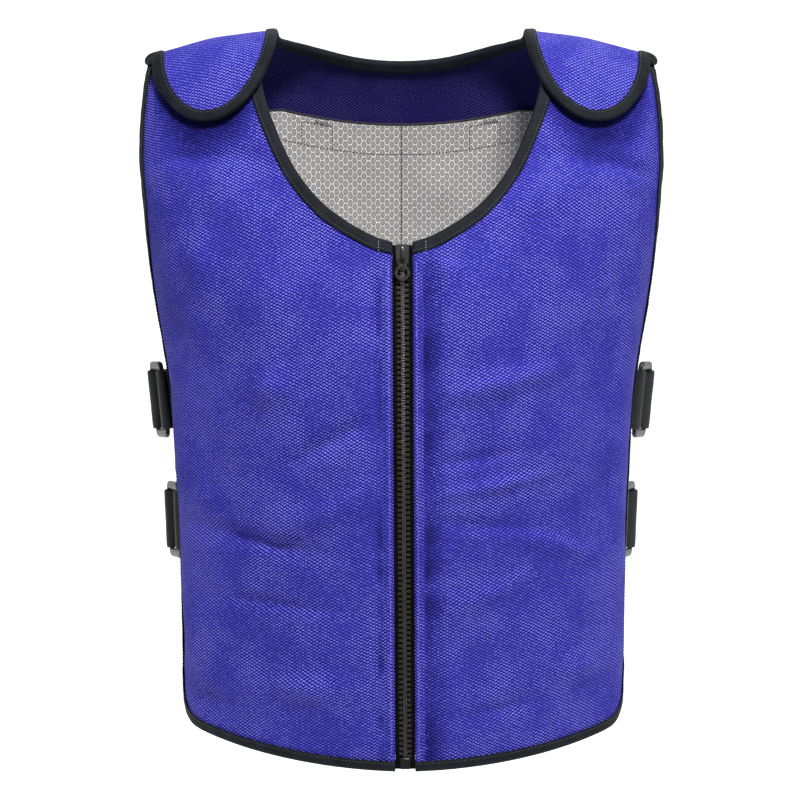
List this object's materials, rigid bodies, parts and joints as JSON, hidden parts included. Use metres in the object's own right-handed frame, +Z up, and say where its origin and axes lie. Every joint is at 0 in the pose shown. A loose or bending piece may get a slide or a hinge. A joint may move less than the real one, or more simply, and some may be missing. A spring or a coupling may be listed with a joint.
{
  "type": "cooling vest",
  "caption": "Sleeveless padded cooling vest for work, zipped down the front, with round shoulder flaps, bound edges, a net lining in the back and ring-and-strap sides.",
  "frame": {"origin": "midway between the shoulders, at the height where the vest bears on them", "axes": "+Z up, the front of the vest looks towards -Y, the wearer's left is +X"},
  "size_m": [0.4344, 0.2441, 0.5986],
  "materials": {
    "quilt_cloth": "blue quilted knit with a fine herringbone rib, matt",
    "binding_tape": "charcoal satin binding, folded and stitched",
    "lining_net": "grey lining cloth with a light hexagon pattern",
    "zip_tape": "black zip tape",
    "black_resin": "black moulded zip, slightly glossy",
    "ring_resin": "black moulded plastic",
    "webbing": "black woven webbing"
  },
  "bodies": {
    "vest": {"back_panel": "quilt_cloth", "front_panel_left": "quilt_cloth", "front_panel_right": "quilt_cloth", "back_binding": "binding_tape", "neck_binding_left": "binding_tape", "neck_binding_right": "binding_tape", "side_binding_left": "binding_tape", "side_binding_right": "binding_tape", "back_lining": "lining_net", "zip_tape_left": "zip_tape", "zip_tape_right": "zip_tape", "zip_teeth": "black_resin", "zip_box": "black_resin", "zip_slider": "black_resin", "side_ring_upper_left": "ring_resin", "side_ring_upper_right": "ring_resin", "side_ring_lower_left": "ring_resin", "side_ring_lower_right": "ring_resin", "side_tab_upper_left": "webbing", "side_tab_upper_right": "webbing", "side_tab_lower_left": "webbing", "side_tab_lower_right": "webbing", "side_strap_upper_left": "webbing", "side_strap_upper_right": "webbing", "side_strap_lower_left": "webbing", "side_strap_lower_right": "webbing"},
    "zip_pull": {"zip_pull": "black_resin"}
  },
  "joints": [
    {"name": "zip_pull_swing", "type": "hinge", "parent": "vest", "child": "zip_pull", "pos_m": [0.00104, -0.11056, -0.17764], "axis": [-1, 0, 0], "range_deg": [0, 135]}
  ]
}
